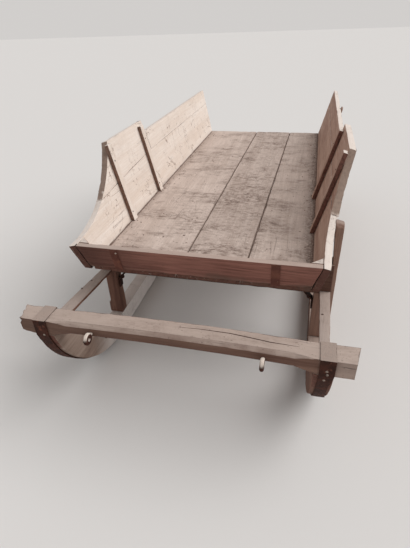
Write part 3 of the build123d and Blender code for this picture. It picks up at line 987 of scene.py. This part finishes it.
class SLEIGH_OT_front_board(SleighOperator):
    """Low leaning front board with its corner blocks and straps"""

    bl_idname = "sleigh.front_board"
    bl_label = "Front board"

    def execute(self, context):
        soil = self.timber.soil
        finish = self.timber_finish(
            "front board timber",
            "X",
            "front",
            dusty=0.95,
            dirt=0.2,
            cut_at=0.6,
            stains=[("X", -0.05, -0.4, 0.65, self.iron.scale), ("Z", 0.512, 0.476, 0.8, soil)],
        )
        self.board("front_board", finish, "front_board", (0.03, 0.01, 0.015), 1.6)
        # The corner blocks take the right side's shaded brown tones, which hold painted shade
        block = self.timber_finish("block timber", "Z", "shaded_brown", end="edge_pale", dirt=0.2)
        iron = self.iron_finish("strap iron", 0.35, rust="strap", dark="strap_dark")
        cells = (0.01, 0, 0.012)
        edge, chip, sway = 0.0008, 0.0006, 0.0003
        straps = []
        for side, _ in SIDES:
            self.board(f"corner_block_{side}", block, "side_boards", (0.02, 0.02, 0.02))
            strap = f"front_strap_{side}"
            straps.append(worn_piece(strap, iron, "iron", cells, edge, chip, sway))
        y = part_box("front_board")[0].y - 0.1
        places = [((0.29, y, 0.499), BACKWARDS)]
        heads_on("strap_nails", straps, places, self.iron.nail, 0.0025, iron)
        bare = self.iron_finish("bare iron", 0.6, rust="bare")
        heads_on("strap_peg", straps, [((-0.274, y, 0.562), BACKWARDS)], 0.0035, 0.003, bare)
        return {"FINISHED"}


class SLEIGH_OT_sides(SleighOperator):
    """Flared sides: lower planks, swooped panels, rear boards and cleats"""

    bl_idname = "sleigh.sides"
    bl_label = "Sides"

    def execute(self, context):
        places = []
        boards = []
        cells = (0.02, 0.045, 0.02)
        split = [(0.438 + 0.013 * i, -0.6494, 0.6400 - 0.0037 * i) for i in range(4)]
        # The left side takes the pale tones, partly painted light, and the right side the shaded
        # brown tones, partly painted shade
        for (side, sign), kind, shaded_flank in zip(SIDES, ("side", "shaded_brown"), ("shaded_flank", "end_dark")):
            left = kind == "side"
            amounts = {"top": "edge_pale", "outside": "outer", "dusty": 0.95, "dirt": 0.12}
            amounts["scratches"] = 0.85 if left else 0.3
            finish = self.timber_finish(
                f"{side} side timber",
                "Y",
                kind,
                end="end_black",
                # Upward-looking end grain, the swoop edges, shows the swoop colour, partly painted
                # shade
                brow="swoop_shade",
                cut_at=0.4,
                bare_above=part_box("side_panel_left")[0].z,
                drips=0.3,
                stains=[("Y", -0.884, -0.892, 1.0, self.iron.scale)],
                **amounts,
            )
            # The cleats' flanks across Y take shaded_flank on the left and end_dark on the right,
            # as painted shade
            cleat_timber = f"{side} cleat timber"
            sawn = self.timber_finish(cleat_timber, "Z", kind, end=shaded_flank, sawn="Y", **amounts)
            for name in ("side_plank", "side_panel", "side_board"):
                node = f"{name}_{side}"
                cracks = [(split, BACKWARDS, 0.0055, 0.014)] if node == "side_panel_right" else ()
                # The seam between the left plank and rear board hardly shows
                tight = left and name != "side_panel"
                chip, edge = (0.45, 0.15) if tight else (1.2, 0.45)
                board = self.board(node, finish, "side_boards", cells, chip, edge, cracks=cracks)
                boards.append(board)
            for name in ("front", "rear"):
                node = f"cleat_{name}_{side}"
                boards.append(self.board(node, sawn, "side_boards", (0.02, 0.02, 0.03)))
                # Two nails, which keep to the middle of the leaning cleat
                low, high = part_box(node)
                for z in (0.52, 0.74):
                    share = (z - low.z) / (high.z - low.z)
                    y = low.y + 0.012 + 0.034 * share
                    places.append(((0, y, z), (sign, 0, 0)))
        iron = self.iron_finish("nail iron", 0.3)
        heads_on("side_nails", boards, places, self.iron.nail * 0.8, 0.0015, iron)
        return {"FINISHED"}


class SLEIGH_OT_stage(SleighOperator):
    """Pale floor, soft light and the camera"""

    bl_idname = "sleigh.stage"
    bl_label = "Stage"

    def execute(self, context):
        scene = context.scene
        stage = scene.sleigh_stage
        mesh = bmesh.new()
        bmesh.ops.create_grid(mesh, x_segments=1, y_segments=1, size=30)
        data = bpy.data.meshes.new("stage_floor")
        mesh.to_mesh(data)
        mesh.free()
        floor = bpy.data.objects.new("stage_floor", data)
        scene.collection.objects.link(floor)
        f = Finish(bpy.data.materials.new("stage floor"))
        shader = f.node(
            "ShaderNodeBsdfPrincipled",
            {},
            {"Base Color": (*stage.floor, 1), "Roughness": 0.9, "Specular IOR Level": 0.1},
        )
        f.node("ShaderNodeOutputMaterial", {}, {"Surface": shader})
        data.materials.append(f.owner)

        world = bpy.data.worlds.new("Studio")
        w = Finish(world)
        seen = 0.0
        for ray in ("Is Camera Ray", "Is Glossy Ray", "Is Transmission Ray"):
            seen = w.maths("MAXIMUM", seen, w.node("ShaderNodeLightPath", output=ray))
        fill, backdrop = (
            w.node("ShaderNodeBackground", {}, {"Color": shown, "Strength": strength})
            for shown, strength in (((1, 1, 1, 1), stage.fill), ((*stage.backdrop, 1), 1.0))
        )
        both = w.node("ShaderNodeMixShader", {}, {0: seen, 1: fill, 2: backdrop})
        w.node("ShaderNodeOutputWorld", {}, {"Surface": both})
        scene.world = world

        lamp = bpy.data.lights.new("key", "SUN")
        lamp.angle = stage.spread
        lamp.energy = stage.key
        key = bpy.data.objects.new("key", lamp)
        key.rotation_mode = "QUATERNION"
        key.rotation_quaternion = Vector((2.4, 0.5, 2.7)).to_track_quat("Z", "Y")
        scene.collection.objects.link(key)

        camera = bpy.data.cameras.new("camera")
        camera.lens = stage.lens
        camera.sensor_width = 36
        camera.clip_end = 100
        eye = bpy.data.objects.new("camera", camera)
        yaw, pitch, roll = stage.yaw, stage.pitch, stage.roll
        ahead = Vector(
            (
                -math.sin(yaw) * math.cos(pitch),
                math.cos(yaw) * math.cos(pitch),
                -math.sin(pitch),
            )
        )
        level_right = Vector((math.cos(yaw), math.sin(yaw), 0))
        level_up = level_right.cross(ahead)
        right = math.cos(roll) * level_right + math.sin(roll) * level_up
        up = -math.sin(roll) * level_right + math.cos(roll) * level_up
        turn = Matrix((right, up, -ahead)).transposed().to_4x4()
        place = Vector((stage.camera_right, -stage.camera_front, stage.camera_height))
        eye.matrix_world = Matrix.Translation(place) @ turn
        scene.collection.objects.link(eye)
        scene.camera = eye
        scene.view_settings.view_transform = "Standard"
        return {"FINISHED"}


class SLEIGH_PT_panel(bpy.types.Panel):
    """Lists the sleigh's sizes, colours and operators"""

    bl_label = "Sleigh"
    bl_idname = "SLEIGH_PT_panel"
    bl_space_type = "VIEW_3D"
    bl_region_type = "UI"
    bl_category = "Sleigh"

    def draw(self, context):
        for group, words in GROUPS:
            box = self.layout.box()
            box.label(text=words.__doc__)
            for name in words.__annotations__:
                box.prop(getattr(context.scene, group), name)
        for operator in OPERATORS:
            self.layout.operator(operator.bl_idname)


GROUPS = (
    ("sleigh_timber", SleighTimber),
    ("sleigh_iron", SleighIron),
    ("sleigh_stage", SleighStage),
)
OPERATORS = (
    SLEIGH_OT_stage,
    SLEIGH_OT_runners,
    SLEIGH_OT_shoes,
    SLEIGH_OT_beam,
    SLEIGH_OT_eyes,
    SLEIGH_OT_undercarriage,
    SLEIGH_OT_stays,
    SLEIGH_OT_floor,
    SLEIGH_OT_front_board,
    SLEIGH_OT_sides,
)


def register():
    for group, kind in GROUPS:
        bpy.utils.register_class(kind)
        setattr(bpy.types.Scene, group, PointerProperty(type=kind))
    for kind in (*OPERATORS, SLEIGH_PT_panel):
        bpy.utils.register_class(kind)


def unregister():
    for kind in reversed((*OPERATORS, SLEIGH_PT_panel)):
        bpy.utils.unregister_class(kind)
    for group, kind in reversed(GROUPS):
        delattr(bpy.types.Scene, group)
        bpy.utils.unregister_class(kind)


def main():
    register()
    for operator in OPERATORS:
        family, name = operator.bl_idname.split(".")
        getattr(getattr(bpy.ops, family), name)()


if __name__ == "__main__":
    main()
